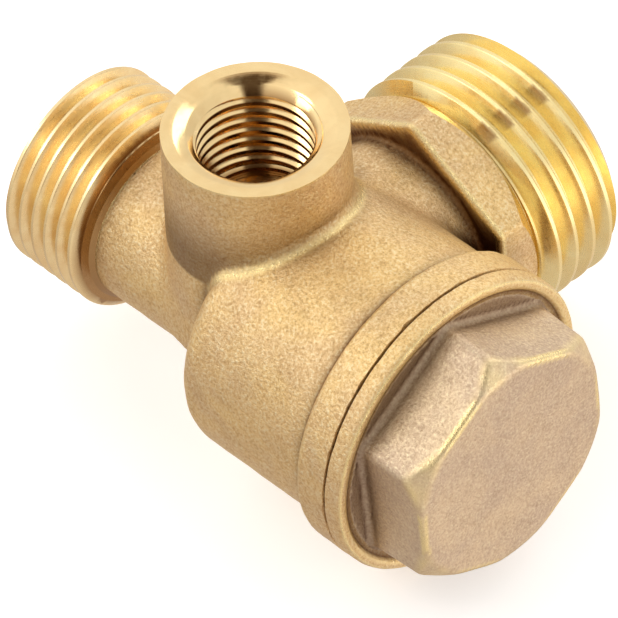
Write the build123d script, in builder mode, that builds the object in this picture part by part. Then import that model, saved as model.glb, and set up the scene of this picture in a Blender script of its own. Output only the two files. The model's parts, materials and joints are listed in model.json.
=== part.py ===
import os
from math import cos, radians, tan

from build123d import *

# Three-way check valve of a piston air compressor, in millimetres.
# Origin: where the inlet axis meets the tank axis.
# X: along the valve chamber, the plug at +X and the inlet pipe at -X.
# Y: the tank thread points to +Y.  Z: the unloader port points to +Z.

os.makedirs("parts", exist_ok=True)

# ---- pipe threads, ISO 228 ----
TANK_R = 20.955 / 2
TANK_ROOT_R = 18.631 / 2
TANK_PITCH = 1.814
INLET_R = 16.662 / 2
INLET_ROOT_R = 14.950 / 2
INLET_PITCH = 1.337
THREAD_SLOPE = tan(radians(27.5))
THREAD_FLOOR = 0.07
THREAD_HALF_MOST = 0.43

# ---- unloader thread, metric fine 10 x 1 ----
UNLOAD_ROOT_R = 5.0
UNLOAD_R = 8.9175 / 2
UNLOAD_PITCH = 1.0

# ---- plug thread, metric fine 20 x 1 ----
PLUG_PITCH = 1.0
PLUG_BORE_R = 9.46
PLUG_ROOT_R = 10.02
PLUG_CREST_R = 9.96
PLUG_CORE_R = 9.40
PLUG_THREAD_START = 9.8
PLUG_THREAD_TURNS = 4
PLUG_CREST_HALF = 0.11
PLUG_BORE_FLOOR = 0.125
PLUG_CORE_FLOOR = 0.1
PLUG_RUN_OUT = 0.47

# ---- how far one solid reaches into the next where they join ----
JOIN = 0.5

# ---- valve chamber ----
CHAMBER_R = 11.5
CHAMBER_START = -1.6
CHAMBER_ROUND = 1.6
COLLAR_R = 12.5
COLLAR_START = 12.2
COLLAR_ROUND = 0.45
SEAM = 15.2
CAVITY_R = 9.0
CAVITY_START = 1.6
CAVITY_END = 9.3
JUNCTION_ROUND = 1.0

# ---- inlet branch, -X ----
INLET_END = -23.95
INLET_SHOULDER = -15.4
INLET_NECK_R = 6.8
INLET_BORE_R = 5.1
INLET_CONE_R = 6.5
INLET_CONE = 2.4
INLET_THREAD_START = -23.63
INLET_THREAD_GROOVES = 6
INLET_EDGE = 0.2
INLET_EDGE_LENGTH = 0.08

# ---- tank branch, +Y ----
TANK_END = 24.9
TANK_THREAD_START = 16.3
TANK_THREAD_GROOVES = 4
TANK_NECK_R = 8.1
TANK_HEX_START = 12.25
TANK_HEX_END = 16.0
TANK_HEX_FLATS = 19.0
TANK_HEX_ROUND = 0.7
TANK_CONE_R = 9.35
TANK_RELIEF_R = 9.3
TANK_EDGE_R = 8.9
TANK_EDGE = 1.2
TANK_BORE_R = 6.5
TANK_BORE_FLOOR = 7.6
TANK_FOOT_ROUND = 0.5
TANK_STEP = 0.25
TANK_MOUTH = 0.6

# ---- unloader branch, +Z ----
UNLOAD_X = -3.55
UNLOAD_TOP = 17.3
UNLOAD_BOSS_R = 7.1
UNLOAD_DISH_R = 6.2
UNLOAD_DISH = 0.35
UNLOAD_MOUTH_R = 5.15
UNLOAD_THREAD_END = 9.1
UNLOAD_THREAD_GROOVES = 7
UNLOAD_DRILL_R = 4.25
UNLOAD_DRILL_FLOOR = 7.9
UNLOAD_DRILL_CONE = 1.0
UNLOAD_STEP = 0.1
UNLOAD_CROSS_R = 2.2

# ---- valve seat ----
SEAT_FACE = 2.78
SEAT_LAND_R = 5.7
SEAT_FOOT_R = 6.5

# ---- hexagon plug ----
PLUG_FLANGE_R = 12.5
PLUG_FLANGE_TOP = 16.9
PLUG_FLANGE_FACE = 16.65
PLUG_BEVEL = 0.35
PLUG_RIM_R = 11.7
PLUG_RIM_FOOT_R = 11.45
PLUG_HEX_FLATS = 19.0
PLUG_HEX_TURN = 33.5
PLUG_HEX_TOP = 22.6
PLUG_HEX_ROUND = 0.6
PLUG_HEX_CORNER = 0.9
PLUG_HEX_CROWN = 1.25
PLUG_HEX_FOOT = 0.45
PLUG_TIP = 9.9
PLUG_RELIEF_R = 9.2
PLUG_POCKET_R = 5.4
PLUG_POCKET_FLOOR = 12.5
GUIDE_R = 2.56
GUIDE_END = 20.2
GUIDE_TIP = 1.0

# ---- sealing ring under the plug flange ----
RING_SECTION_R = 0.6
RING_R = 10.4
GLAND_R = 11.2
GLAND_FLOOR = 14.0

# ---- piston, disc and spring ----
STEM_R = 2.5
STEM_END = 15.7
STEM_EDGE = 0.4
HEAD_R = 7.3
HEAD_FRONT = 3.4
HEAD_BACK = 6.4
HEAD_FRONT_EDGE = 0.3
HEAD_BACK_EDGE = 0.4
DISC_R = 6.5
DISC_FACE = 2.8
DISC_BACK = 5.0
DISC_ROUND = 0.2
WIRE_R = 0.25
SPRING_R = 4.1
SPRING_TURNS = 5


def thread_edge(crest_r, root_r, pitch, start, grooves, floor_share=THREAD_FLOOR):
    """Points (along, radius) of a ring thread's edge with this many grooves."""
    floor = pitch * floor_share
    half = min(pitch * THREAD_HALF_MOST, floor + abs(crest_r - root_r) * THREAD_SLOPE)
    points = []
    for n in range(grooves):
        mid = start + pitch * n + pitch / 2
        points.append((mid - half, crest_r))
        points.append((mid - floor, root_r))
        points.append((mid + floor, root_r))
        points.append((mid + half, crest_r))
    return points


def swapped(points):
    """The same points with the two coordinates exchanged."""
    return [(b, a) for a, b in points]


def about_unloader(points):
    """Points (radius, height) moved onto the unloader port's axis."""
    return [(UNLOAD_X + radius, height) for radius, height in points]


UNLOADER_AXIS = Axis((UNLOAD_X, 0, 0), (0, 0, 1))
UNLOAD_MOUTH = UNLOAD_TOP - UNLOAD_DISH - UNLOAD_MOUTH_R + UNLOAD_R

# ---- outer edge of the inlet branch, (along, radius) ----
inlet_edge = [
    (INLET_END, 0),
    (INLET_END, INLET_R - INLET_EDGE),
    (INLET_END + INLET_EDGE_LENGTH, INLET_R),
    *thread_edge(
        INLET_R, INLET_ROOT_R, INLET_PITCH, INLET_THREAD_START, INLET_THREAD_GROOVES,
    ),
    (INLET_SHOULDER - INLET_EDGE_LENGTH, INLET_R),
    (INLET_SHOULDER, INLET_R - INLET_EDGE),
    (INLET_SHOULDER, 0),
]

# ---- outer edge of the tank branch past its hexagon, (along, radius) ----
tank_edge = [
    (TANK_HEX_END - JOIN, 0),
    (TANK_HEX_END - JOIN, TANK_RELIEF_R),
    (TANK_THREAD_START - TANK_STEP, TANK_RELIEF_R),
    (TANK_THREAD_START, TANK_R),
    *thread_edge(TANK_R, TANK_ROOT_R, TANK_PITCH, TANK_THREAD_START, TANK_THREAD_GROOVES),
    (TANK_END - TANK_EDGE, TANK_R),
    (TANK_END, TANK_EDGE_R),
    (TANK_END, 0),
]

# ---- wrench hexagon of the tank branch ----
with BuildPart() as tank_hexagon:
    with BuildSketch(Plane.XZ.offset(-TANK_HEX_START)):
        RegularPolygon(TANK_HEX_FLATS / 2, 6, major_radius=False, rotation=30)
    extrude(amount=TANK_HEX_START - TANK_HEX_END)
    fillet(tank_hexagon.edges().filter_by(Axis.Y), TANK_HEX_ROUND)
    with BuildSketch(Plane.XY) as hexagon_turning:
        Polygon(
            (0, TANK_HEX_START), (TANK_HEX_FLATS, TANK_HEX_START),
            (TANK_HEX_FLATS, TANK_HEX_END + TANK_CONE_R - TANK_HEX_FLATS),
            (TANK_CONE_R, TANK_HEX_END), (0, TANK_HEX_END), align=None,
        )
    revolve(axis=Axis.Y, mode=Mode.INTERSECT)
    fillet(tank_hexagon.edges().group_by(Axis.Y)[0], TANK_HEX_ROUND / 2)

# ---- valve body: one forging with all the ports ----
with BuildPart() as valve_body:
    # chamber with its rounded shoulder and its collar
    with BuildSketch(Plane.XY) as chamber_half:
        Polygon(
            (CHAMBER_START, 0), (CHAMBER_START, CHAMBER_R), (COLLAR_START, CHAMBER_R),
            (COLLAR_START + COLLAR_ROUND, COLLAR_R), (SEAM, COLLAR_R), (SEAM, 0), align=None,
        )
        fillet(chamber_half.vertices().sort_by(Axis.X)[:2].sort_by(Axis.Y)[-1], CHAMBER_ROUND)
    revolve(axis=Axis.X)
    # neck of the inlet branch
    with BuildSketch(Plane.YZ.offset(INLET_SHOULDER - JOIN)):
        Circle(INLET_NECK_R)
    extrude(amount=CAVITY_START + JOIN - INLET_SHOULDER)
    # boss of the unloader port
    with BuildSketch(Plane.XY):
        with Locations((UNLOAD_X, 0)):
            Circle(UNLOAD_BOSS_R)
    extrude(amount=UNLOAD_TOP)
    # neck of the tank branch
    with BuildSketch(Plane.XZ):
        Circle(TANK_NECK_R)
    extrude(amount=-TANK_HEX_START - JOIN)
    # forged rounds where the branches meet
    junctions = valve_body.edges().filter_by(GeomType.BSPLINE)
    junctions += valve_body.edges().filter_by(GeomType.ELLIPSE)
    junctions += valve_body.edges().filter_by_position(Axis.X, CHAMBER_START, CHAMBER_START)
    fillet(junctions, JUNCTION_ROUND)
    # wrench hexagon, rounded into the neck
    add(tank_hexagon.part)
    hexagon_foot = valve_body.edges().filter_by(GeomType.CIRCLE)
    hexagon_foot = hexagon_foot.filter_by_position(Axis.Y, TANK_HEX_START, TANK_HEX_START)
    fillet(hexagon_foot, TANK_FOOT_ROUND)
    # male pipe threads
    with BuildSketch(Plane.XY):
        Polygon(*inlet_edge, align=None)
    revolve(axis=Axis.X)
    with BuildSketch(Plane.XY):
        Polygon(*swapped(tank_edge), align=None)
    revolve(axis=Axis.Y)
    # inlet passage with the pipe cone
    with BuildSketch(Plane.XY):
        Polygon(
            (INLET_END, 0), (INLET_END, INLET_CONE_R), (INLET_END + INLET_CONE, INLET_BORE_R),
            (CAVITY_START + JOIN, INLET_BORE_R), (CAVITY_START + JOIN, 0), align=None,
        )
    revolve(axis=Axis.X, mode=Mode.SUBTRACT)
    # chamber cavity, plug thread and ring gland
    with BuildSketch(Plane.XY):
        Polygon(
            (CAVITY_START, 0), (CAVITY_START, CAVITY_R), (CAVITY_END, CAVITY_R),
            (CAVITY_END + PLUG_BORE_R - CAVITY_R, PLUG_BORE_R),
            *thread_edge(
                PLUG_BORE_R, PLUG_ROOT_R, PLUG_PITCH, PLUG_THREAD_START,
                PLUG_THREAD_TURNS, PLUG_BORE_FLOOR,
            ),
            (GLAND_FLOOR, PLUG_BORE_R), (GLAND_FLOOR, GLAND_R), (SEAM, GLAND_R), (SEAM, 0),
            align=None,
        )
    revolve(axis=Axis.X, mode=Mode.SUBTRACT)
    # tank passage, stopped short of the inlet passage and open to the chamber
    with BuildSketch(Plane.XY):
        Polygon(
            (0, TANK_BORE_FLOOR), (TANK_BORE_R, TANK_BORE_FLOOR),
            (TANK_BORE_R, TANK_END - TANK_MOUTH), (TANK_BORE_R + TANK_MOUTH, TANK_END),
            (0, TANK_END), align=None,
        )
    revolve(axis=Axis.Y, mode=Mode.SUBTRACT)
    # unloader port: mouth, thread, drilled end and cross hole
    with BuildSketch(Plane.XZ):
        Polygon(
            *about_unloader([
                (0, 0), (UNLOAD_CROSS_R, 0), (UNLOAD_CROSS_R, UNLOAD_DRILL_FLOOR),
                (UNLOAD_DRILL_R, UNLOAD_DRILL_FLOOR + UNLOAD_DRILL_CONE),
                (UNLOAD_DRILL_R, UNLOAD_THREAD_END),
                (UNLOAD_R, UNLOAD_THREAD_END + UNLOAD_STEP),
                *swapped(thread_edge(
                    UNLOAD_R, UNLOAD_ROOT_R, UNLOAD_PITCH,
                    UNLOAD_THREAD_END + UNLOAD_STEP, UNLOAD_THREAD_GROOVES,
                )),
                (UNLOAD_R, UNLOAD_MOUTH),
                (UNLOAD_MOUTH_R, UNLOAD_TOP - UNLOAD_DISH),
                (UNLOAD_DISH_R, UNLOAD_TOP), (0, UNLOAD_TOP),
            ]),
            align=None,
        )
    revolve(axis=UNLOADER_AXIS, mode=Mode.SUBTRACT)
    # valve seat: a raised ring with a narrow land
    with BuildSketch(Plane.XY):
        Polygon(
            (CAVITY_START - JOIN, INLET_BORE_R), (SEAT_FACE, INLET_BORE_R),
            (SEAT_FACE, SEAT_LAND_R), (CAVITY_START, SEAT_FOOT_R),
            (CAVITY_START - JOIN, SEAT_FOOT_R), align=None,
        )
    revolve(axis=Axis.X)
valve_body.part.label = "valve_body"
export_step(valve_body.part, "parts/valve_body.step")

# ---- hexagon plug: hexagon, flange, threaded spigot, spring pocket and guide ----
PLUG_CROWN_R = PLUG_HEX_FLATS / 2 / cos(radians(30)) - PLUG_HEX_CROWN

with BuildPart() as plug_hexagon:
    with BuildSketch(Plane.YZ.offset(PLUG_FLANGE_FACE - JOIN)):
        RegularPolygon(PLUG_HEX_FLATS / 2, 6, major_radius=False, rotation=PLUG_HEX_TURN)
    extrude(amount=PLUG_HEX_TOP - PLUG_FLANGE_FACE + JOIN)
    fillet(plug_hexagon.edges().filter_by(Axis.X), PLUG_HEX_CORNER)
    fillet(plug_hexagon.edges().group_by(Axis.X)[-1], PLUG_HEX_ROUND)
    with BuildSketch(Plane.XY):
        Polygon(
            (PLUG_FLANGE_FACE - JOIN, 0),
            (PLUG_FLANGE_FACE - JOIN, PLUG_FLANGE_R),
            (PLUG_HEX_TOP - PLUG_FLANGE_R + PLUG_CROWN_R, PLUG_FLANGE_R),
            (PLUG_HEX_TOP, PLUG_CROWN_R), (PLUG_HEX_TOP, 0), align=None,
        )
    revolve(axis=Axis.X, mode=Mode.INTERSECT)

FIRST_CREST = PLUG_THREAD_START + PLUG_PITCH / 2
LAST_CREST = FIRST_CREST + (PLUG_THREAD_TURNS - 1) * PLUG_PITCH
spigot_thread = [
    (FIRST_CREST - PLUG_CREST_HALF, PLUG_CREST_R),
    *thread_edge(
        PLUG_CREST_R, PLUG_CORE_R, PLUG_PITCH, FIRST_CREST,
        PLUG_THREAD_TURNS - 1, PLUG_CORE_FLOOR,
    ),
    (LAST_CREST + PLUG_CREST_HALF, PLUG_CREST_R),
    (LAST_CREST + PLUG_RUN_OUT, PLUG_RELIEF_R),
]

with BuildPart() as hex_plug:
    with BuildSketch(Plane.XY):
        Polygon(
            (PLUG_TIP, 0), (PLUG_TIP, PLUG_RELIEF_R),
            *spigot_thread,
            (SEAM, PLUG_RELIEF_R), (SEAM, PLUG_FLANGE_R),
            (PLUG_FLANGE_TOP - PLUG_BEVEL, PLUG_FLANGE_R),
            (PLUG_FLANGE_TOP, PLUG_FLANGE_R - PLUG_BEVEL), (PLUG_FLANGE_TOP, PLUG_RIM_R),
            (PLUG_FLANGE_FACE, PLUG_RIM_FOOT_R), (PLUG_FLANGE_FACE, 0), align=None,
        )
    revolve(axis=Axis.X)
    add(plug_hexagon.part)
    face_edges = hex_plug.edges().filter_by_position(Axis.X, PLUG_FLANGE_FACE, PLUG_FLANGE_FACE)
    fillet(face_edges.sort_by(SortBy.LENGTH)[:-1], PLUG_HEX_FOOT)
    # spring pocket and stem guide
    with BuildSketch(Plane.XY):
        Polygon(
            (PLUG_TIP, 0), (PLUG_TIP, PLUG_POCKET_R), (PLUG_POCKET_FLOOR, PLUG_POCKET_R),
            (PLUG_POCKET_FLOOR, GUIDE_R), (GUIDE_END - GUIDE_TIP, GUIDE_R), (GUIDE_END, 0),
            align=None,
        )
    revolve(axis=Axis.X, mode=Mode.SUBTRACT)
hex_plug.part.label = "hex_plug"
export_step(hex_plug.part, "parts/hex_plug.step")

# ---- sealing ring squeezed between the collar and the plug flange ----
with BuildPart() as sealing_ring:
    with BuildSketch(Plane.XY):
        with Locations((GLAND_FLOOR + RING_SECTION_R, RING_R)):
            Circle(RING_SECTION_R)
    revolve(axis=Axis.X)
sealing_ring.part.label = "plug_sealing_ring"
export_step(sealing_ring.part, "parts/plug_sealing_ring.step")

# ---- valve piston: head with a recess for the disc, and a guided stem ----
with BuildPart() as valve_piston:
    with BuildSketch(Plane.XY):
        Polygon(
            (DISC_BACK, 0), (DISC_BACK, DISC_R), (HEAD_FRONT, DISC_R),
            (HEAD_FRONT, HEAD_R - HEAD_FRONT_EDGE), (HEAD_FRONT + HEAD_FRONT_EDGE, HEAD_R),
            (HEAD_BACK - HEAD_BACK_EDGE, HEAD_R), (HEAD_BACK, HEAD_R - HEAD_BACK_EDGE),
            (HEAD_BACK, STEM_R), (STEM_END - STEM_EDGE, STEM_R),
            (STEM_END, STEM_R - STEM_EDGE), (STEM_END, 0), align=None,
        )
    revolve(axis=Axis.X)
valve_piston.part.label = "valve_piston"
export_step(valve_piston.part, "parts/valve_piston.step")

# ---- rubber disc that closes on the seat ----
with BuildPart() as rubber_disc:
    with BuildSketch(Plane.YZ.offset(DISC_FACE)):
        Circle(DISC_R)
    extrude(amount=DISC_BACK - DISC_FACE)
    fillet(rubber_disc.edges().sort_by(Axis.X)[0], DISC_ROUND)
rubber_disc.part.label = "rubber_seat_disc"
export_step(rubber_disc.part, "parts/rubber_seat_disc.step")

# ---- return spring between the piston head and the pocket floor ----
SPRING_START = HEAD_BACK + WIRE_R
SPRING_LENGTH = PLUG_POCKET_FLOOR - HEAD_BACK - 2 * WIRE_R

with BuildPart() as return_spring:
    with BuildLine() as coil:
        Helix(
            SPRING_LENGTH / SPRING_TURNS, SPRING_LENGTH, SPRING_R,
            center=(SPRING_START, 0, 0), direction=(1, 0, 0),
        )
    with BuildSketch(Plane(origin=coil.line @ 0, z_dir=coil.line % 0)):
        Circle(WIRE_R)
    sweep(is_frenet=True)
return_spring.part.label = "return_spring"
export_step(return_spring.part, "parts/return_spring.step")
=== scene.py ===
import json
import math

import bpy
import numpy as np
from mathutils import Matrix, Vector


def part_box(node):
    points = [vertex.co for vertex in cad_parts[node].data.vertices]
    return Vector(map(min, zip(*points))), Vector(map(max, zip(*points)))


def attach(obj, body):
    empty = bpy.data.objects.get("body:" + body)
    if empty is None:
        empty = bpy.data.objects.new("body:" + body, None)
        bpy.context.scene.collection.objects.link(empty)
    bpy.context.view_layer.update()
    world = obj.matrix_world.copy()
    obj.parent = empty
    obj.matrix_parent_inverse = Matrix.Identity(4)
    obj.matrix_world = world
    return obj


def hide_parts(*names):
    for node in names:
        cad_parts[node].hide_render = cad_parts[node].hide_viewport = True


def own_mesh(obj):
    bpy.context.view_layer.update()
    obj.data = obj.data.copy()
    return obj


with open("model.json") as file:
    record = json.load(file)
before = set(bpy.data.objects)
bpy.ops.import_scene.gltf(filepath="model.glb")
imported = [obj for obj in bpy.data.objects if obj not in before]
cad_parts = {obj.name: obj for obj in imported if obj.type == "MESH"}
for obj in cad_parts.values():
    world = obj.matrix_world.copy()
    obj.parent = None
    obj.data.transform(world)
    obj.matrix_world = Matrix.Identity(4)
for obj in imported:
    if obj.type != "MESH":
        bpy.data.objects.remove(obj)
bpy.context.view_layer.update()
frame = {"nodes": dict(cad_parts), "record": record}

# Shapes are worked out in millimetres in the row frame, and written to Blender in metres.
MM = 0.001
SIN_45, SIN_60, TAN_30 = 0.70710678, 0.8660254, 0.57735027

for light in [o for o in bpy.data.objects if o.type == "LIGHT"]:
    bpy.data.objects.remove(light)


def box_mm(node):
    """Lowest and highest corner of a CAD node in millimetres."""
    low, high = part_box(node)
    return low / MM, high / MM


BODY_LOW, BODY_HIGH = box_mm("valve_body")
PLUG_LOW, PLUG_HIGH = box_mm("hex_plug")
SPRING_LOW, SPRING_HIGH = box_mm("return_spring")
MOUNTS = {m["name"]: m for m in frame["record"]["mounts"]}


def mount_r(name):
    return MOUNTS[name]["dims"]["r_mm"]


# ---- sizes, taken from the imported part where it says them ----
INLET_END = BODY_LOW.x
TANK_END = BODY_HIGH.y
UNLOAD_TOP = BODY_HIGH.z
SEAM = BODY_HIGH.x
COLLAR_R = -BODY_LOW.z
UNLOAD_X = MOUNTS["unloader_thread"]["pos_m"][0] / MM
AT_ORIGIN, AT_PORT = (0, 0, 0), (UNLOAD_X, 0, 0)
TANK_R = mount_r("tank_thread")
INLET_R = mount_r("inlet_thread")
UNLOAD_R = mount_r("unloader_thread")
TANK_BORE_R = mount_r("tank_bore")
INLET_BORE_R = mount_r("inlet_bore")
PLUG_TOP = PLUG_HIGH.x
PLUG_TIP = PLUG_LOW.x
FLANGE_R = PLUG_HIGH.y
CAVITY_START, SEAT_FACE = 1.6, 2.78

TANK_PITCH, TANK_ROOT_R = 1.814, 9.3155
INLET_PITCH, INLET_ROOT_R = 1.337, 7.475
UNLOAD_PITCH, UNLOAD_ROOT_R = 1.0, 5.0

# the forging, before the turned faces are cut
CHAMBER_START, CHAMBER_R, CHAMBER_ROUND = -1.5, 11.5, 1.65
COLLAR_START, FORGING_END = 12.25, 17.5
INLET_SHOULDER, INLET_NECK_R = -15.4, 6.8
BOSS_R, BOSS_DRAFT = 7.07, 0.01
TANK_NECK_R = 8.1
TANK_HEX_START, TANK_HEX_END, TANK_HEX_CORNER = 12.25, 16.0, 0.8
TANK_HEX_FLATS, TANK_HEX_CONE_R = 19.0, 9.45
INLET_WELD, TANK_WELD, BOSS_WELD, COLLAR_WELD, NUT_WELD = 1.5, 0.95, 0.85, 0.35, 0.45
SKIN_RIPPLE, PLUG_RIPPLE = 0.035, 0.02

# the plug's casting and flange
PLUG_FLATS, PLUG_CORNER, PLUG_DRAFT, PLUG_CONE_R = 19.0, 1.0, 0.03, 9.45
PLUG_TURN = math.radians(33.5)
FLANGE_TOP, FLANGE_FACE, FLANGE_FLOOR_R = 16.9, 16.65, 11.0
SPIGOT_R, PLUG_BORE_R, GLAND_FLOOR, GLAND_R = 9.2, 9.46, 14.0, 11.2
SPRING_POCKET_R, SPRING_POCKET_FLOOR, GUIDE_R = 5.4, 12.5, 2.56
RIM_STEPS = 288


# ---- distance fields of the forged shapes ----
def rod(along, away, start, end, radius, edge=0.0):
    """Distance to a cylinder with rounded rims, from the place along it and away from its axis."""
    side = away - radius + edge
    cap = np.abs(along - (start + end) / 2) - (end - start) / 2 + edge
    return np.minimum(np.maximum(side, cap), 0) + np.hypot(np.maximum(side, 0), np.maximum(cap, 0)) - edge


def hexagon(u, v, flats_r, corner):
    """Distance in a plane to a hexagon with flats at +v and -v and rounded corners."""
    r = flats_r - corner
    u, v = np.abs(u), np.abs(v)
    fold = np.minimum(-SIN_60 * u + 0.5 * v, 0)
    u = u + 2 * fold * SIN_60
    v = v - 2 * fold * 0.5
    u = u - np.clip(u, -TAN_30 * r, TAN_30 * r)
    v = v - r
    return np.hypot(u, v) * np.sign(v) - corner


def prism(flat, along, start, end, edge):
    """Distance to a prism whose section has the distance flat, with rounded rims."""
    side = flat + edge
    cap = np.abs(along - (start + end) / 2) - (end - start) / 2 + edge
    return np.minimum(np.maximum(side, cap), 0) + np.hypot(np.maximum(side, 0), np.maximum(cap, 0)) - edge


def weld(a, b, radius):
    """Union of two distances with a concave round between them."""
    hollow = np.hypot(np.maximum(radius - a, 0), np.maximum(radius - b, 0))
    return np.maximum(radius, np.minimum(a, b)) - hollow


def meet(a, b, radius):
    """Common part of two distances with a convex round along their edge."""
    crest = np.hypot(np.maximum(radius + a, 0), np.maximum(radius + b, 0))
    return np.minimum(-radius, np.maximum(a, b)) + crest


def ripple(x, y, z):
    """Slow unevenness of a forged or cast skin, from -1 to 1."""
    a = np.sin(1.31 * x + 0.47 * y - 0.71 * z + 0.3) * np.sin(0.53 * x - 1.12 * y + 0.64 * z + 1.7)
    b = np.sin(2.17 * z + 0.81 * x + 0.9) * np.sin(1.93 * y - 0.62 * x + 0.4)
    c = np.sin(3.7 * x + 2.9 * z + 2.2) * np.sin(3.3 * y - 2.4 * z + 0.8)
    return 0.5 * a + 0.3 * b + 0.2 * c


def forging(x, y, z):
    """Distance to the body's forging with its three branches, collar and tank hexagon."""
    off_x = np.hypot(y, z)
    off_y = np.hypot(x, z)
    off_z = np.hypot(x - UNLOAD_X, y)
    chamber = rod(x, off_x, CHAMBER_START, FORGING_END, CHAMBER_R, CHAMBER_ROUND)
    collar = rod(x, off_x, COLLAR_START, FORGING_END, COLLAR_R, 0.45)
    inlet = rod(x, off_x, INLET_SHOULDER, 6.0, INLET_NECK_R, 0.25)
    boss = rod(z, off_z, -2.0, UNLOAD_TOP + 1.0, BOSS_R + BOSS_DRAFT * (UNLOAD_TOP - z), 0.2)
    tank = rod(y, off_y, -3.0, 14.0, TANK_NECK_R, 0.5)
    nut = hexagon(z, x, TANK_HEX_FLATS / 2, TANK_HEX_CORNER)
    nut = prism(nut, y, TANK_HEX_START, TANK_HEX_END + 0.6, 0.4)
    d = weld(chamber, inlet, INLET_WELD)
    d = weld(d, tank, TANK_WELD)
    d = weld(d, boss, BOSS_WELD)
    d = weld(d, collar, COLLAR_WELD)
    d = weld(d, nut, NUT_WELD)
    return d + SKIN_RIPPLE * ripple(x, y, z)


def plug_planes(x, y, z):
    """Distances to the plug's hexagon and to the cone that turns its corners off."""
    u = y * math.cos(PLUG_TURN) + z * math.sin(PLUG_TURN)
    v = -y * math.sin(PLUG_TURN) + z * math.cos(PLUG_TURN)
    flat = hexagon(u, v, PLUG_FLATS / 2 + PLUG_DRAFT * (FLANGE_TOP - x), PLUG_CORNER)
    return flat, (np.hypot(y, z) - PLUG_CONE_R + (x - PLUG_TOP)) * SIN_45


def plug_casting(x, y, z):
    """Distance to the plug's hexagon and the hollow floor of its flange."""
    off_x = np.hypot(y, z)
    flat, crown = plug_planes(x, y, z)
    head = prism(flat, x, FLANGE_TOP - 2, PLUG_TOP - 0.03, 0.3)
    head = meet(head, crown, 0.2)
    slab = x - FLANGE_FACE + 0.4 * np.maximum(off_x - FLANGE_FLOOR_R, 0)
    d = weld(head, np.maximum(slab, off_x - 12.0), 0.5)
    d = np.maximum(d, SEAM + 0.3 - x)
    return d + PLUG_RIPPLE * ripple(x + 5, y, z)


# ---- meshes ----
def net(distance, low, high, pitch):
    """Vertices and quads of the surface where distance is zero, laid on it exactly."""
    axes = [np.arange(a, b + pitch, pitch) for a, b in zip(low, high)]
    field = distance(*np.meshgrid(*axes, indexing="ij"))
    inside = field < 0
    cells = [n - 1 for n in inside.shape]
    filled = np.zeros(cells, int)
    for i in (0, 1):
        for j in (0, 1):
            for k in (0, 1):
                filled += inside[i:cells[0] + i, j:cells[1] + j, k:cells[2] + k]
    mixed = (filled > 0) & (filled < 8)
    number = np.full(cells, -1)
    number[mixed] = np.arange(mixed.sum())
    corner = np.argwhere(mixed)
    total, hits = np.zeros(corner.shape), np.zeros(len(corner))
    units = np.eye(3, dtype=int)
    for axis in range(3):
        b, c = units[(axis + 1) % 3], units[(axis + 2) % 3]
        for shift in (0 * b, b, c, b + c):
            one = corner + shift
            two = one + units[axis]
            f, g = field[tuple(one.T)], field[tuple(two.T)]
            crossed = (f < 0) != (g < 0)
            share = np.where(crossed, f / np.where(crossed, f - g, 1), 0)
            total += np.where(crossed, 1, 0)[:, None] * (one + share[:, None] * units[axis])
            hits += crossed
    points = np.array(low) + pitch * total / hits[:, None]
    quads = []
    for axis in range(3):
        b, c = units[(axis + 1) % 3], units[(axis + 2) % 3]
        first = inside[tuple(slice(0, -1) if a == axis else slice(1, -1) for a in range(3))]
        last = inside[tuple(slice(1, None) if a == axis else slice(1, -1) for a in range(3))]
        for out, order in ((first & ~last, (0, 1, 2, 3)), (~first & last, (3, 2, 1, 0))):
            edge = np.argwhere(out) + 1 - units[axis]
            ring = [edge, edge - b, edge - b - c, edge - c]
            quads.append(np.stack([number[tuple(ring[n].T)] for n in order], 1))
    quads = np.concatenate(quads)
    for _ in range(3):
        points = settle(distance, relaxed(points, quads), pitch)
    return settle(distance, settle(distance, points, pitch), pitch), quads


def relaxed(points, quads):
    """Each point moved to the middle of its neighbours."""
    total, hits = np.zeros(points.shape), np.zeros(len(points))
    for n in range(4):
        for m in (n - 1, (n + 1) % 4):
            np.add.at(total, quads[:, n], points[quads[:, m]])
            np.add.at(hits, quads[:, n], 1)
    return total / hits[:, None]


def slope(distance, points, step=0.02):
    """Gradient of the distance at each point."""
    parts = []
    for axis in range(3):
        ahead, behind = points.copy(), points.copy()
        ahead[:, axis] += step
        behind[:, axis] -= step
        parts.append((distance(*ahead.T) - distance(*behind.T)) / (2 * step))
    return np.stack(parts, 1)


def settle(distance, points, reach):
    """Points moved onto the zero surface by one Newton step."""
    g = slope(distance, points)
    step = distance(*points.T) / np.maximum((g * g).sum(1), 0.2)
    return points - np.clip(step, -reach, reach)[:, None] * g


def turned(points, steps=144, wobble=None):
    """Vertices and faces of a solid turned about the first axis from (along, radius) points, axis to axis."""
    angle = 2 * math.pi * np.arange(steps) / steps
    rings = []
    for n, (along, radius) in enumerate(points[1:-1]):
        a, r = np.full(steps, float(along)), np.full(steps, float(radius))
        if wobble:
            a, r = wobble(n, a, r, angle)
        rings.append(np.stack([a, r * np.cos(angle), r * np.sin(angle)], 1))
    vertices = np.concatenate([[(points[0][0], 0, 0)], *rings, [(points[-1][0], 0, 0)]])
    last = len(vertices) - 1
    faces = []
    for k in range(steps):
        m = (k + 1) % steps
        faces.append((0, 1 + m, 1 + k))
        faces.append((last, last - steps + k, last - steps + m))
        for n in range(len(rings) - 1):
            at = 1 + n * steps
            faces.append((at + k, at + m, at + steps + m, at + steps + k))
    return vertices, faces


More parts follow.
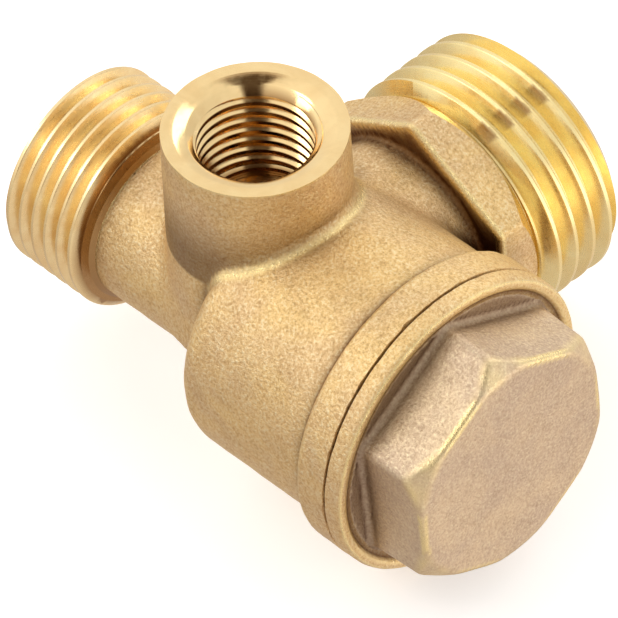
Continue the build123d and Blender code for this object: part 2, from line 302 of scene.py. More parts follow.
def threaded(pitch, profile, start, turns, steps=160):
    """Vertices and faces of a long right-hand thread. profile is (share of pitch, radius) over one pitch."""
    per, total = len(profile), turns * steps
    count = np.arange(total + 1)
    share = np.array([s for s, _ in profile])
    radius = np.array([r for _, r in profile])
    extra = np.arange(total - steps + 1, total + 1)

    def placed(i, s, r):
        angle = 2 * math.pi * i / steps
        return np.stack([start + pitch * (i / steps + s), r * np.cos(angle), r * np.sin(angle)], -1)

    grid = placed(count[:, None], share[None, :], radius[None, :] + 0 * count[:, None]).reshape(-1, 3)
    tail = placed(extra, 1 + share[0], radius[0] + 0 * extra)
    tips = [(start - pitch, 0, 0), (start + pitch * (turns + 2), 0, 0)]
    vertices = np.concatenate([grid, tail, tips])
    low_tip, high_tip = len(vertices) - 2, len(vertices) - 1

    def at(i, j):
        if j < per:
            return i * per + j
        if i + steps <= total:
            return (i + steps) * per
        return (total + 1) * per + i - (total - steps) - 1

    faces = [
        (at(i, j), at(i + 1, j), at(i + 1, j + 1), at(i, j + 1)) for i in range(total) for j in range(per)
    ]
    faces += [(at(i + 1, 0), at(i, 0), low_tip) for i in range(steps)]
    faces += [(at(0, j), at(0, j + 1), low_tip) for j in range(per)]
    faces += [(at(i, per), at(i + 1, per), high_tip) for i in range(total - steps, total)]
    faces += [(at(total, j + 1), at(total, j), high_tip) for j in range(per)]
    return vertices, faces


def pointed(vertices, axis, centre=(0, 0, 0)):
    """Vertices made about the first axis, moved onto X, Y or Z through centre."""
    turn = "XYZ".index(axis)
    return np.roll(np.asarray(vertices, float), turn, 1) + np.array(centre, float)


def solid(name, shape, material, axis="X", centre=(0, 0, 0)):
    """An object from vertices and faces in millimetres, made about the first axis."""
    vertices, faces = shape
    mesh = bpy.data.meshes.new(name)
    mesh.from_pydata((pointed(vertices, axis, centre) * MM).tolist(), [], [tuple(map(int, f)) for f in faces])
    mesh.materials.append(material)
    made = bpy.data.objects.new(name, mesh)
    bpy.context.scene.collection.objects.link(made)
    return made


def combined(made, other, how):
    """made with other added, cut away or kept in common. other is used up."""
    step = made.modifiers.new("join", "BOOLEAN")
    step.solver, step.material_mode = "MANIFOLD", "TRANSFER"
    step.operation, step.object = how, other
    graph = bpy.context.evaluated_depsgraph_get()
    mesh = bpy.data.meshes.new_from_object(made.evaluated_get(graph))
    made.modifiers.clear()
    made.data = mesh
    bpy.data.objects.remove(other)
    return made


def cut_thread(name, pitch, profile, envelope, material, axis, centre=(0, 0, 0), phase=0.0):
    """A length of thread kept inside a turned envelope."""
    low = min(a for a, _ in envelope)
    high = max(a for a, _ in envelope)
    turns = math.ceil((high - low) / pitch) + 4
    helix = solid(name, threaded(pitch, profile, low + (phase - 2) * pitch, turns), material, axis, centre)
    return combined(helix, solid("envelope", turned(envelope), material, axis, centre), "INTERSECT")


def groove(crest_r, root_r, pitch, root_share=0.06, crest_share=0.08):
    """One pitch of a pipe thread with rounded crest and root, as (share, radius)."""
    depth = crest_r - root_r
    return [
        (0.00, crest_r), (crest_share, crest_r), (crest_share + 0.05, crest_r - 0.07 * depth),
        (0.5 - root_share - 0.05, root_r + 0.10 * depth), (0.5 - root_share, root_r),
        (0.5 + root_share, root_r), (0.5 + root_share + 0.05, root_r + 0.10 * depth),
        (1 - crest_share - 0.05, crest_r - 0.07 * depth), (1 - crest_share, crest_r),
    ]


# ---- materials ----
class Tree:
    """Short calls for building a material's nodes."""

    def __init__(self, name):
        self.material = bpy.data.materials.new(name)
        self.material.use_nodes = True
        self.nodes = self.material.node_tree.nodes
        self.links = self.material.node_tree.links
        self.shader = self.nodes["Principled BSDF"]

    def add(self, kind, inputs=(), **settings):
        node = self.nodes.new(kind)
        for key, value in settings.items():
            setattr(node, key, value)
        for key, value in dict(inputs).items():
            self.feed(node.inputs[key], value)
        return node

    def feed(self, socket, value):
        if isinstance(value, bpy.types.NodeSocket):
            self.links.new(value, socket)
        else:
            socket.default_value = value

    def math(self, how, a, b=0.0, clamp=False):
        return self.add("ShaderNodeMath", {0: a, 1: b}, operation=how, use_clamp=clamp).outputs[0]

    def place(self):
        """Object coordinates in millimetres."""
        source = self.add("ShaderNodeTexCoord").outputs["Object"]
        scale = (1 / MM, 1 / MM, 1 / MM)
        return self.add("ShaderNodeVectorMath", {0: source, 1: scale}, operation="MULTIPLY").outputs[0]

    def noise(self, vector, scale, detail=2.0, rough=0.5, warp=0.0):
        inputs = {"Vector": vector, "Scale": scale, "Detail": detail, "Roughness": rough, "Distortion": warp}
        return self.add("ShaderNodeTexNoise", inputs).outputs["Fac"]

    def ramp(self, value, low, high, to_low=0.0, to_high=1.0):
        inputs = {"Value": value, "From Min": low, "From Max": high, "To Min": to_low, "To Max": to_high}
        return self.add("ShaderNodeMapRange", inputs).outputs["Result"]

    def mix(self, share, a, b):
        node = self.add("ShaderNodeMix", data_type="RGBA")
        self.feed(node.inputs["Factor"], share)
        self.feed(node.inputs[6], a)
        self.feed(node.inputs[7], b)
        return node.outputs[2]

    def attribute(self, name):
        return self.add("ShaderNodeAttribute", attribute_name=name).outputs["Fac"]

    def bump(self, height, strength, distance, under=None):
        inputs = {"Height": height, "Strength": strength, "Distance": distance}
        if under is not None:
            inputs["Normal"] = under
        return self.add("ShaderNodeBump", inputs).outputs["Normal"]

    def finish(self, colour, rough, normal, metal=1.0):
        self.feed(self.shader.inputs["Base Color"], colour)
        self.feed(self.shader.inputs["Roughness"], rough)
        self.feed(self.shader.inputs["Normal"], normal)
        self.shader.inputs["Metallic"].default_value = metal
        return self.material


def forged_finish(name, gold, tan, brown, deep, grain=1.0):
    """Blasted skin of a brass forging: fine sparkle, slow colour drift, painted shade in recesses, and edges
    painted brighter as painted highlight.
    """
    t = Tree(name)
    place = t.place()
    drift = t.noise(place, 0.16, 3.0, 0.6, 0.4)
    blotch = t.noise(place, 0.9, 3.0, 0.6)
    speck = t.noise(place, 4.2, 3.0, 0.75)
    pits = t.add("ShaderNodeTexVoronoi", {"Vector": place, "Scale": 2.4, "Randomness": 1.0})
    pits = pits.outputs["Distance"]
    edge = t.attribute("edge")
    colour = t.mix(t.ramp(drift, 0.38, 0.62), gold, tan)
    colour = t.mix(t.ramp(blotch, 0.5, 0.8, 0.0, 0.25), colour, brown)
    colour = t.mix(t.ramp(speck, 0.3, 0.5, 0.55 * grain, 0.0), colour, brown)
    colour = t.mix(t.ramp(speck, 0.5, 0.72, 0.0, 0.8 * grain), colour, (1.0, 0.88, 0.58, 1))
    # painted shade: closed-in places and marked spots drawn in the deep colour
    colour = t.mix(t.math("MULTIPLY", t.attribute("painted_shade"), 1.1, True), colour, deep)
    # painted highlight: convex edges, ridges and rims drawn lighter, together with the burr and turned
    # corners
    colour = t.mix(t.math("MULTIPLY", edge, 0.85, True), colour, (1.0, 0.80, 0.38, 1))
    rough = t.math("ADD", t.ramp(speck, 0.3, 0.7, 0.58, 0.38), t.ramp(blotch, 0.2, 0.8, -0.05, 0.06))
    rough = t.math("SUBTRACT", rough, t.math("MULTIPLY", edge, 0.24))
    wide = t.bump(pits, 0.2 * grain, 0.00005)
    normal = t.bump(speck, 0.9 * grain, 0.00011, wide)
    return t.finish(colour, rough, normal)


def turned_finish(name, axis, centre, bright, dull, lines=1.0, low_rough=0.14, high_rough=0.3):
    """Turned brass: fine rings about an axis, a little smear, tone drifting to duller, and painted shade in
    hollows.
    """
    t = Tree(name)
    place = t.place()
    moved = t.add("ShaderNodeVectorMath", {0: place, 1: centre}, operation="SUBTRACT").outputs[0]
    parts = t.add("ShaderNodeSeparateXYZ", {0: moved}).outputs
    order = {"X": (0, 1, 2), "Y": (1, 2, 0), "Z": (2, 0, 1)}[axis]
    u, v = parts[order[1]], parts[order[2]]
    away = t.math("SQRT", t.math("ADD", t.math("MULTIPLY", u, u), t.math("MULTIPLY", v, v)))
    rings = t.add("ShaderNodeCombineXYZ", {0: parts[order[0]], 1: away, 2: 0.0}).outputs[0]
    line = t.noise(rings, 14.0, 3.0, 0.7)
    drift = t.noise(place, 0.35, 3.0, 0.6, 0.5)
    smear = t.noise(place, 1.6, 3.0, 0.6)
    colour = t.mix(t.ramp(drift, 0.35, 0.65), bright, dull)
    colour = t.mix(t.ramp(line, 0.55, 0.8, 0.0, 0.25), colour, dull)
    # painted shade: closed-in and marked places drawn dark brown
    colour = t.mix(t.math("MULTIPLY", t.attribute("painted_shade"), 0.92, True), colour, (0.34, 0.18, 0.065, 1))
    rough = t.math("ADD", t.ramp(line, 0.3, 0.7, low_rough, high_rough), t.ramp(smear, 0.4, 0.8, 0.0, 0.12))
    normal = t.bump(line, 0.35 * lines, 0.00001)
    return t.finish(colour, rough, normal)


FORGED = forged_finish(
    "forged_brass", gold=(0.90, 0.64, 0.29, 1), tan=(0.80, 0.56, 0.29, 1),
    brown=(0.42, 0.23, 0.09, 1), deep=(0.14, 0.06, 0.02, 1),
)
PLUG_SKIN = forged_finish(
    "plug_brass", gold=(0.78, 0.60, 0.40, 1), tan=(0.68, 0.52, 0.37, 1),
    brown=(0.40, 0.26, 0.16, 1), deep=(0.17, 0.10, 0.06, 1), grain=0.7,
)
TURNED_X = turned_finish(
    "turned_inlet", "X", AT_ORIGIN, bright=(0.97, 0.77, 0.42, 1), dull=(0.90, 0.66, 0.33, 1),
    low_rough=0.2, high_rough=0.34,
)
TURNED_Y = turned_finish(
    "turned_tank", "Y", AT_ORIGIN, bright=(1.0, 0.84, 0.42, 1), dull=(0.96, 0.75, 0.34, 1),
    low_rough=0.17, high_rough=0.3,
)
TURNED_Z = turned_finish(
    "turned_unloader", "Z", AT_PORT, bright=(0.95, 0.72, 0.37, 1), dull=(0.89, 0.64, 0.31, 1),
    lines=0.7, low_rough=0.07, high_rough=0.16,
)
INSIDE = turned_finish(
    "turned_inside", "X", AT_ORIGIN, bright=(0.80, 0.58, 0.28, 1), dull=(0.66, 0.46, 0.22, 1),
)


# ---- valve body ----
BODY_CELL = 0.3
PLUG_CELL = 0.25
body = solid(
    "valve_body_forging", net(forging, (-16.5, -13.4, -13.4), (18.4, 17.6, 19.2), BODY_CELL), FORGED,
)

TANK_RELIEF_R, INLET_RELIEF_R = 9.25, 7.75
INLET_PHASE = 0.165
tank_stub = cut_thread(
    "tank_thread", TANK_PITCH, groove(TANK_R, TANK_ROOT_R, TANK_PITCH),
    [(15.2, 0), (15.2, 9.2), (16.15, TANK_RELIEF_R), (16.75, TANK_R), (TANK_END - 1.2, TANK_R),
     (TANK_END - 0.05, 8.95), (TANK_END, 8.8), (TANK_END, 0)],
    TURNED_Y, "Y",
)
inlet_stub = cut_thread(
    "inlet_thread", INLET_PITCH, groove(INLET_R, INLET_ROOT_R, INLET_PITCH),
    [(INLET_END, 0), (INLET_END, INLET_R - 0.45), (INLET_END + 0.35, INLET_R),
     (-16.05, INLET_R), (-15.8, INLET_RELIEF_R), (-15.62, INLET_RELIEF_R), (-15.5, INLET_R - 0.1),
     (INLET_SHOULDER, INLET_R - 0.15), (-15.35, 7.2), (-15.0, 6.7), (-15.0, 0)],
    TURNED_X, "X", phase=INLET_PHASE,
)

# corners of the tank hexagon turned off at 45 degrees, and its end face turned flat
shave = solid("shave", turned([(14.0, 0), (14.0, 30), (18.5, 30), (18.5, 0)]), TURNED_Y, "Y")
cone = [(0, 0), (0, TANK_HEX_CONE_R + TANK_HEX_END), (TANK_HEX_END, TANK_HEX_CONE_R), (TANK_HEX_END, 0)]
cone = solid("cone", turned(cone), TURNED_Y, "Y")
shave = combined(shave, cone, "DIFFERENCE")
body = combined(body, shave, "DIFFERENCE")

# the boss's top and the collar's end turned flat
face = [(UNLOAD_TOP, 0), (UNLOAD_TOP, 12), (22, 12), (22, 0)]
body = combined(body, solid("face", turned(face), TURNED_Z, "Z", AT_PORT), "DIFFERENCE")


def bitten(n, along, radius, angle):
    """Uneven, torn outer edge of the collar's end."""
    torn = np.sin(9 * angle + 1.1) * np.sin(23 * angle + 0.4) + 0.6 * np.sin(41 * angle + 2.0)
    torn = np.clip(torn, 0, None)
    if n == 1:
        return along, radius - 0.12 * torn
    if n == 2:
        return along - 0.16 * torn, radius
    return along, radius


end = [(SEAM, 0), (SEAM, 12.05), (SEAM, COLLAR_R - 0.18), (SEAM - 0.12, COLLAR_R + 0.3),
       (SEAM + 0.5, 15), (20, 15), (20, 0)]
body = combined(body, solid("end", turned(end, RIM_STEPS, bitten), FORGED, "X"), "DIFFERENCE")
body = combined(body, tank_stub, "UNION")
body = combined(body, inlet_stub, "UNION")

# passages: inlet with its pipe cone, chamber with the bore for the plug's thread and gland, tank
inlet_hole = [(-26, 0), (-26, 6.9), (INLET_END - 0.05, 6.55), (INLET_END + 2.4, INLET_BORE_R),
              (2.1, INLET_BORE_R), (2.1, 0)]
body = combined(body, solid("inlet_hole", turned(inlet_hole), TURNED_X, "X"), "DIFFERENCE")
cavity = [(CAVITY_START, 0), (CAVITY_START, 9.0), (9.3, 9.0), (9.76, PLUG_BORE_R), (9.9, 9.98), (13.7, 9.98),
          (GLAND_FLOOR, PLUG_BORE_R), (GLAND_FLOOR, GLAND_R), (18, GLAND_R), (18, 0)]
body = combined(body, solid("cavity", turned(cavity), INSIDE, "X"), "DIFFERENCE")
tank_hole = [(7.6, 0), (7.6, TANK_BORE_R), (TANK_END - 0.6, TANK_BORE_R),
             (TANK_END + 0.4, TANK_BORE_R + 1.0), (27, TANK_BORE_R + 1.0), (27, 0)]
body = combined(body, solid("tank_hole", turned(tank_hole), TURNED_Y, "Y"), "DIFFERENCE")

# side port: thread, drilled end with the cross hole, and dished mouth
DRILL_R, CROSS_HOLE_R = 4.25, 2.2
port = cut_thread(
    "port", UNLOAD_PITCH, groove(UNLOAD_ROOT_R, UNLOAD_R, UNLOAD_PITCH, 0.165, 0.05),
    [(8.6, 0), (8.6, DRILL_R), (8.9, 4.3), (9.3, UNLOAD_ROOT_R), (18.5, UNLOAD_ROOT_R), (18.5, 0)],
    TURNED_Z, "Z", AT_PORT,
)
drill = [(0, 0), (0, CROSS_HOLE_R), (7.9, CROSS_HOLE_R), (8.9, DRILL_R), (9.6, DRILL_R), (9.6, 0)]
port = combined(port, solid("drill", turned(drill), TURNED_Z, "Z", AT_PORT), "UNION")
mouth = [(-1.8, 0), (-1.8, 3.7), (-0.4, 5.1), (-0.3, 5.25), (-0.03, 6.05), (0.1, 6.6), (1.5, 8.0), (1.5, 0)]
mouth = [(UNLOAD_TOP + along, radius) for along, radius in mouth]
port = combined(port, solid("mouth", turned(mouth), TURNED_Z, "Z", AT_PORT), "UNION")
body = combined(body, port, "DIFFERENCE")

# valve seat
seat = [(1.0, 0), (1.0, 6.5), (CAVITY_START, 6.5), (SEAT_FACE, 5.7), (SEAT_FACE, 0)]
seat = solid("seat", turned(seat), INSIDE, "X")
seat_hole = [(0.5, 0), (0.5, INLET_BORE_R), (3.5, INLET_BORE_R), (3.5, 0)]
seat = combined(seat, solid("seat_hole", turned(seat_hole), INSIDE, "X"), "DIFFERENCE")
body = combined(body, seat, "UNION")


# ---- hexagon plug ----
plug = solid(
    "hex_plug_casting", net(plug_casting, (14.6, -12.9, -12.9), (23.3, 12.9, 12.9), PLUG_CELL), PLUG_SKIN,
)


def chipped(n, along, radius, angle):
    """A slightly uneven rim on the flange."""
    rough = 0.5 * np.sin(17 * angle + 0.6) * np.sin(5 * angle + 1.3) + 0.5 * np.sin(31 * angle)
    if n in (1, 2):
        return along + 0.05 * np.clip(rough, 0, None), radius
    if n in (3, 4):
        return along, radius - 0.02 * rough
    return along, radius


flange = [
    (SEAM, 0), (SEAM, 12.1), (SEAM + 0.03, FLANGE_R - 0.2), (SEAM + 0.2, FLANGE_R), (16.42, FLANGE_R),
    (16.68, FLANGE_R - 0.07), (16.84, FLANGE_R - 0.2), (FLANGE_TOP, FLANGE_R - 0.4), (FLANGE_TOP, 11.78),
    (16.85, 11.68), (FLANGE_FACE - 0.03, 11.44), (FLANGE_FACE - 0.03, 0),
]
plug = combined(plug, solid("flange", turned(flange, RIM_STEPS, chipped), FORGED, "X"), "UNION")
spigot = [(PLUG_TIP, 0), (PLUG_TIP, SPIGOT_R), (10.2, 9.4), (13.7, 9.4), (15.0, SPIGOT_R),
          (SEAM + 0.3, SPIGOT_R), (SEAM + 0.3, 0)]
plug = combined(plug, solid("spigot", turned(spigot), INSIDE, "X"), "UNION")
pocket = [(8, 0), (8, SPRING_POCKET_R), (SPRING_POCKET_FLOOR, SPRING_POCKET_R),
          (SPRING_POCKET_FLOOR, GUIDE_R), (19.2, GUIDE_R), (20.2, 0)]
plug = combined(plug, solid("pocket", turned(pocket), INSIDE, "X"), "DIFFERENCE")


def shaded(made, angle=32.0):
    """Smooth shading, with edges sharper than the angle in degrees kept sharp."""
    mesh = made.data
    mesh.polygons.foreach_set("use_smooth", [True] * len(mesh.polygons))
    mesh.set_sharp_from_angle(angle=math.radians(angle))


def smoothed(mesh, away, skin):
    """Shading of the faces whose corners all lie on the skin taken from the distance's own gradient."""
    corner = np.zeros(len(mesh.loops) * 3, np.float32)
    mesh.corner_normals.foreach_get("vector", corner)
    corner = corner.reshape(-1, 3)
    vertex = np.zeros(len(mesh.loops), int)
    mesh.loops.foreach_get("vertex_index", vertex)
    first = np.zeros(len(mesh.polygons), int)
    mesh.polygons.foreach_get("loop_start", first)
    whole = np.logical_and.reduceat(skin[vertex], first)
    sides = np.diff(np.append(first, len(vertex)))
    whole = np.repeat(whole, sides)
    corner[whole] = away[vertex[whole]]
    mesh.normals_split_custom_set(corner.tolist())


def marked(made, distance, painted_light_and_wear):
    """Point attributes: painted shade, how closed in a point of the skin is, which darkens it as painted
    shade, and edge, how convex it is, which lightens it as painted highlight.
    """
    mesh = made.data
    points = np.zeros(len(mesh.vertices) * 3, np.float32)
    mesh.vertices.foreach_get("co", points)
    points = points.reshape(-1, 3).astype(float) / MM
    g = slope(distance, points)
    g /= np.maximum(np.linalg.norm(g, axis=1), 1e-6)[:, None]
    start = distance(*points.T)
    # painted shade: the more closed in a point of the skin, the darker it is drawn
    painted_shade = np.zeros(len(points))
    for reach, share in ((0.6, 0.5), (1.2, 0.3), (2.4, 0.2)):
        out = distance(*(points + reach * g).T) - start
        painted_shade += share * np.clip(1 - out / reach, 0, 1) * 2.2
    inner = distance(*(points - 0.5 * g).T) - start
    # edge: convex points are drawn lighter, as painted highlight
    edge = np.clip(1.03 * (1 + inner / 0.5) - 0.03, 0, 1) * 7.0
    skin = np.abs(start) < 0.08
    smoothed(mesh, g, np.abs(start) < 0.02)
    for name, values, more in zip(("painted_shade", "edge"), (painted_shade, edge), painted_light_and_wear(*points.T)):
        values = np.clip(np.maximum(np.where(skin, values, 0), more), 0, 1)
        layer = mesh.attributes.new(name, "FLOAT", "POINT")
        layer.data.foreach_set("value", values.astype(np.float32))


# where the painted dark reflections stand about the tank thread's axis, and half their width, in degrees
MARK_TURN, MARK_HALF = 21.0, 5.0


def body_painted_light_and_burr(x, y, z):
    """Extra painted shade and edge of the body's points: painted shade, painted dark reflections, painted
    highlight and a bright burr.
    """
    off_x, off_y, off_z = np.hypot(y, z), np.hypot(x, z), np.hypot(x - UNLOAD_X, y)
    # painted shade on the crests of the port's thread
    port = (z > 7.5) & (z < UNLOAD_TOP - 0.5)
    wall = (off_z < UNLOAD_R + 0.04) & (off_z > 4.0)
    painted_shade = np.where(port & wall, 1.0, 0)
    # painted shade in the groove behind the inlet thread
    relief = (x > -16.5) & (x < -14.9) & (off_x < INLET_R - 0.1) & (off_x > 6.6)
    painted_shade = np.where(relief, 1.0, painted_shade)
    # painted shade on the face of the tank hexagon towards the chamber, darker away from its edge
    inset = -hexagon(z, x, TANK_HEX_FLATS / 2, TANK_HEX_CORNER)
    foot = np.clip(inset / 1.1, 0, 1) * np.clip((y - 11.3) / 0.6, 0, 1) * (y < 14) * 0.8
    painted_shade = np.maximum(painted_shade, foot)
    # painted shade on the lower front of the boss
    under = np.clip((14.0 - z) / 4.5, 0, 1) * (z > 7) * (off_z < 7.4) * np.clip((1.0 - y) / 3, 0, 1)
    painted_shade = np.maximum(painted_shade, 0.62 * under * np.clip((x + 10.6) / 2.4, 0, 1))
    # painted shade at the foot of the tank thread
    painted_shade = np.where((y > TANK_HEX_END) & (y < 16.5) & (off_y < 9.6), 0.25, painted_shade)
    # a row of painted dark reflections across the tank thread's crests
    turn = np.degrees(np.arctan2(x, z))
    across = np.abs((y - 16.5 + 0.9) % TANK_PITCH - 0.9) < 0.5
    mark = across & (np.abs(turn - MARK_TURN) < MARK_HALF) & (off_y > 9.6) & (y > TANK_HEX_END) & (y < 22.6)
    painted_shade = np.where(mark, 0.85, painted_shade)
    # painted highlight along the ridge where the boss meets the chamber, and a bright burr on the boss's rim
    ridge = np.clip(1 - np.abs(off_z - 7.7) / 0.4, 0, 1) * (z > 8.0) * (z < 14) * np.clip(x + 3, 0, 1)
    burr = (z > UNLOAD_TOP - 0.05) & (off_z > 6.9)
    return painted_shade, np.where(burr, 1.0, 0.95 * ridge)


def plug_painted_light_and_wear(x, y, z):
    """Extra painted shade and edge of the plug's points: painted shade, painted highlight, and turned corners
    with uneven wear.
    """
    off_x = np.hypot(y, z)
    flange = off_x > 11.3
    # painted shade inside the flange's rim and at the hexagon's foot; the flange's side by the seam drawn
    # darker too
    inside = (x < FLANGE_FACE) & (x > 16.5) & (off_x < 11.6)
    side = x < SEAM + 0.1
    foot = 0.55 * np.clip((18.0 - x) / 1.3, 0, 1) * (off_x < 11.3) * (x > 16.0)
    painted_shade = np.where(flange & (inside | side), 0.8, foot)
    # painted highlight lines on the flange's rim
    rim = (x > 16.75) & (np.abs(off_x - FLANGE_R + 0.22) < 0.1)
    lip = (x > 16.8) & (off_x < 11.9)
    # turned corners of the hexagon drawn brighter, with uneven wear, partly painted highlight
    flat, crown = plug_planes(x, y, z)
    uneven = 0.6 + 0.4 * np.sin(1.9 * y + 0.7) * np.sin(1.6 * z + 1.9)
    bevel = np.clip(1.15 - np.abs(crown) / 0.35, 0, 1) * (x > FLANGE_TOP + 2) * uneven
    arris = np.clip(1.1 - np.hypot(flat, crown) / 0.5, 0, 1)
    painted_light_and_wear = np.maximum(0.55 * bevel, 0.9 * arris * uneven)
    return painted_shade, np.where(flange & rim, 1.0, np.where(flange & lip, 0.6, painted_light_and_wear))


# each skin gets its painted shade and painted highlight from its own distance
for made, node, slot, distance, painted_light_and_wear in (
    (body, "valve_body", "forged_brass", forging, body_painted_light_and_burr),
    (plug, "hex_plug", "plug_brass", plug_casting, plug_painted_light_and_wear),
):
    shaded(made)
    marked(made, distance, painted_light_and_wear)
    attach(made, "body")
    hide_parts(node)


# ---- return spring ----
def coil_mesh(radius, wire, start, end, turns, steps=48, sides=12):
    """A wire wound about X with closed end turns."""
    count = int(turns * steps)
    t = np.arange(count + 1) / count
    angle = 2 * math.pi * turns * t
    rise = np.clip((t * turns - 0.7) / (turns - 1.4), 0, 1)
    rise = start + wire + (end - start - 2 * wire) * (0.12 * t + 0.88 * rise)
    centre = np.stack([rise, radius * np.cos(angle), radius * np.sin(angle)], 1)
    tangent = np.gradient(centre, axis=0)
    tangent /= np.linalg.norm(tangent, axis=1)[:, None]
    outward = np.stack([0 * angle, np.cos(angle), np.sin(angle)], 1)
    side = np.cross(tangent, outward)
    vertices, faces = [], []
    for k in range(count + 1):
        for s in range(sides):
            a = 2 * math.pi * s / sides
            vertices.append(centre[k] + wire * (math.cos(a) * outward[k] + math.sin(a) * side[k]))
    for k in range(count):
        for s in range(sides):
            m = (s + 1) % sides
            faces.append((k * sides + s, (k + 1) * sides + s, (k + 1) * sides + m, k * sides + m))
    faces.append(tuple(range(sides)))
    faces.append(tuple(range(count * sides + sides - 1, count * sides - 1, -1)))
    return np.array(vertices), faces


def wire_finish():
    t = Tree("spring_wire")
    place = t.place()
    fine = t.noise(place, 9.0, 3.0, 0.7)
    colour = t.mix(t.ramp(fine, 0.3, 0.7), (0.52, 0.53, 0.55, 1), (0.68, 0.68, 0.69, 1))
    return t.finish(colour, t.ramp(fine, 0.3, 0.7, 0.22, 0.4), t.bump(fine, 0.3, 0.00001))


def rubber_finish():
    t = Tree("black_rubber")
    place = t.place()
    fine = t.noise(place, 6.0, 4.0, 0.6)
    wide = t.noise(place, 0.7, 2.0, 0.5)
    colour = t.mix(t.ramp(wide, 0.35, 0.65), (0.012, 0.012, 0.013, 1), (0.03, 0.029, 0.028, 1))
    return t.finish(colour, t.ramp(fine, 0.3, 0.7, 0.5, 0.72), t.bump(fine, 0.25, 0.00003), 0.0)


WIRE_R, SPRING_TURNS = 0.25, 5.0
coil = coil_mesh(SPRING_HIGH.y - WIRE_R, WIRE_R, SPRING_LOW.x, SPRING_HIGH.x, SPRING_TURNS)
spring = solid("return_spring_wire", coil, wire_finish(), "X")
shaded(spring, 60)
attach(spring, "body")
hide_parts("return_spring")
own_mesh(spring)

# ---- CAD pieces that keep their shape ----
RUBBER = rubber_finish()
PISTON_BRASS = turned_finish(
    "turned_piston", "X", AT_ORIGIN, bright=(0.88, 0.66, 0.32, 1), dull=(0.78, 0.55, 0.26, 1),
)
for node, material in (
    ("valve_piston", PISTON_BRASS), ("rubber_seat_disc", RUBBER), ("plug_sealing_ring", RUBBER),
):
    part = frame["nodes"][node]
    part.data.materials.clear()
    part.data.materials.append(material)


# ---- studio ----
def lamp(name, place, aim, size, power, colour=(1, 1, 1)):
    """A rectangular area light at place, turned to aim."""
    data = bpy.data.lights.new(name, "AREA")
    data.shape = "RECTANGLE"
    data.size, data.size_y = size
    data.energy = power
    data.color = colour
    made = bpy.data.objects.new(name, data)
    bpy.context.scene.collection.objects.link(made)
    made.location = place
    made.rotation_mode = "QUATERNION"
    made.rotation_quaternion = (Vector(aim) - Vector(place)).to_track_quat("-Z", "Y")
    return made


floor_tree = Tree("floor")
grain = floor_tree.noise(floor_tree.place(), 0.05)
floor_tree.finish((0.95, 0.95, 0.95, 1), 0.6, floor_tree.bump(grain, 0.05, 0.0001), 0.0)
floor_tree.shader.inputs["Emission Color"].default_value = (1, 1, 1, 1)
floor_tree.shader.inputs["Emission Strength"].default_value = 0.42
FLOOR, REACH = BODY_LOW.z * MM, 2
sheet = bpy.data.meshes.new("floor")
corners = [(-REACH, -REACH, FLOOR), (REACH, -REACH, FLOOR), (REACH, REACH, FLOOR), (-REACH, REACH, FLOOR)]
sheet.from_pydata(corners, [], [(0, 1, 2, 3)])
sheet.materials.append(floor_tree.material)
floor = bpy.data.objects.new("floor", sheet)
bpy.context.scene.collection.objects.link(floor)
floor.visible_glossy = False

bpy.context.scene.view_settings.view_transform = "Standard"
world = bpy.data.worlds.new("studio")
bpy.context.scene.world = world
world.use_nodes = True
sky = world.node_tree
ground = sky.nodes["Background"]


def sky_node(kind, inputs=(), **settings):
    node = sky.nodes.new(kind)
    for key, value in settings.items():
        setattr(node, key, value)
    for key, value in dict(inputs).items():
        if isinstance(value, bpy.types.NodeSocket):
            sky.links.new(value, node.inputs[key])
        else:
            node.inputs[key].default_value = value
    return node


# a light tent: white above, dimmer below, brighter to one side, with a dark gap overhead
ALONG, ACROSS = (0.6703, 0.7421, 0.0), (0.7421, -0.6703, 0.0)
direction = sky_node("ShaderNodeTexCoord").outputs["Generated"]
height = sky_node("ShaderNodeSeparateXYZ", {0: direction}).outputs[2]


def towards(aim):
    """Cosine of the angle between a direction and aim."""
    return sky_node("ShaderNodeVectorMath", {0: direction, 1: aim}, operation="DOT_PRODUCT").outputs["Value"]


def graded(value, low, high, at_low, at_high):
    """A straight ramp from at_low to at_high, level outside it."""
    return sky_node("ShaderNodeMapRange", {
        "Value": value, "From Min": low, "From Max": high, "To Min": at_low, "To Max": at_high,
    }).outputs[0]


def either(how, a, b):
    """Two values joined by one math node."""
    return sky_node("ShaderNodeMath", {0: a, 1: b}, operation=how).outputs[0]


ramp = sky_node("ShaderNodeValToRGB", {0: graded(height, -1.0, 1.0, 0.0, 1.0)})
stops = ((0.0, (0.56, 0.50, 0.47)), (0.35, (0.64, 0.59, 0.56)), (0.47, (0.72, 0.68, 0.65)),
         (0.54, (0.92, 0.90, 0.88)), (0.75, (1.02, 1.00, 0.98)), (1.0, (1.05, 1.03, 1.00)))
band = ramp.color_ramp
while len(band.elements) < len(stops):
    band.elements.new(0.5)
for element, (at, colour) in zip(band.elements, stops):
    element.position, element.color = at, (*colour, 1)
above = graded(height, -0.15, 0.15, 0.0, 1.0)
high_swing = graded(towards((-0.62, -0.78, 0.1)), -1.0, 1.0, 0.8, 1.12)
low_swing = graded(towards((0.7421, 0.6703, 0.0)), -0.7, 0.7, 0.96, 1.5)
high_part = either("MULTIPLY", high_swing, above)
low_part = either("MULTIPLY", low_swing, either("SUBTRACT", 1.0, above))
swing = either("ADD", high_part, low_part)
beside = graded(towards((0.876, 0.482, 0.0)), 0.86, 0.97, 1.0, 2.0)
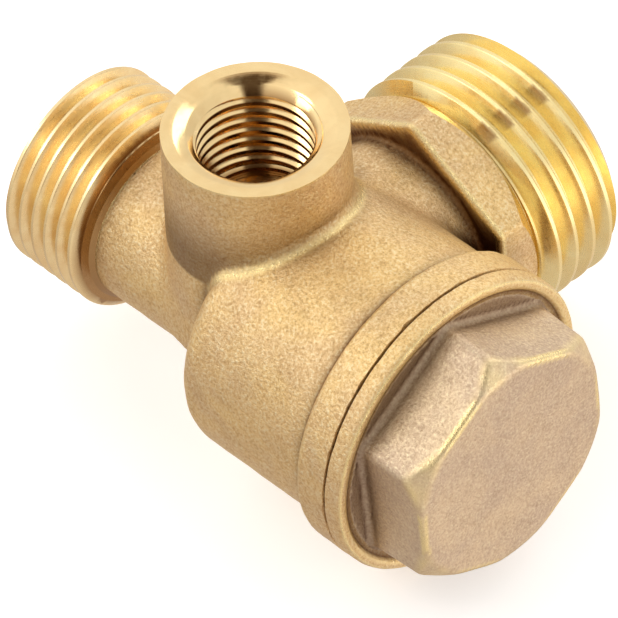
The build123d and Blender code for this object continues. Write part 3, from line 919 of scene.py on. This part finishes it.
aside = sky_node("ShaderNodeMath", {0: towards(ALONG)}, operation="ABSOLUTE").outputs[0]
gap = graded(aside, 0.2, 0.235, 0.09, 1.0)
back_open = graded(towards(ACROSS), -0.3, -0.12, 1.0, 0.0)
below = graded(height, -0.05, 0.1, 1.0, 0.0)
gap = either("MAXIMUM", either("MAXIMUM", gap, back_open), below)
strength = either("MULTIPLY", either("MULTIPLY", swing, beside), gap)
# light from inside the gap is warm
warm = sky_node("ShaderNodeMix", data_type="RGBA")
sky.links.new(gap, warm.inputs["Factor"])
warm.inputs[6].default_value = (1.0, 0.62, 0.36, 1)
sky.links.new(ramp.outputs[0], warm.inputs[7])
sky.links.new(warm.outputs[2], ground.inputs["Color"])
sky.links.new(strength, ground.inputs["Strength"])

MIDDLE = Vector((0, 5 * MM, 0))
lamp("key", (-0.45, -0.45, 0.55), MIDDLE, (0.3, 0.3), 1.0, (1.0, 0.97, 0.92))
lamp("back", (-0.1, 0.55, 0.5), MIDDLE, (0.4, 0.25), 0.7)

# ---- camera, at the photograph's angle ----
AZIMUTH, ELEVATION, ROLL = math.radians(47.91), math.radians(46.15), math.radians(3.57)
FAR, LENS = 700.0, 542.3
OFF_X, OFF_Y = -0.77, -0.38
back = Vector((
    math.sin(AZIMUTH) * math.cos(ELEVATION), -math.cos(AZIMUTH) * math.cos(ELEVATION), math.sin(ELEVATION),
))
right = Vector((math.cos(AZIMUTH), math.sin(AZIMUTH), 0))
up = back.cross(right)
level = Matrix((right, up, back))
tilt = Matrix((
    (math.cos(ROLL), -math.sin(ROLL), 0), (math.sin(ROLL), math.cos(ROLL), 0), (0, 0, 1),
))
view = (tilt @ level).transposed()
camera_data = bpy.data.cameras.new("camera")
camera_data.lens = LENS
camera_data.sensor_width = 36.0
camera_data.clip_start, camera_data.clip_end = 0.05, 10.0
camera = bpy.data.objects.new("camera", camera_data)
bpy.context.scene.collection.objects.link(camera)
camera.matrix_world = Matrix.Translation(view @ Vector((-OFF_X, -OFF_Y, FAR)) * MM) @ view.to_4x4()
bpy.context.scene.camera = camera
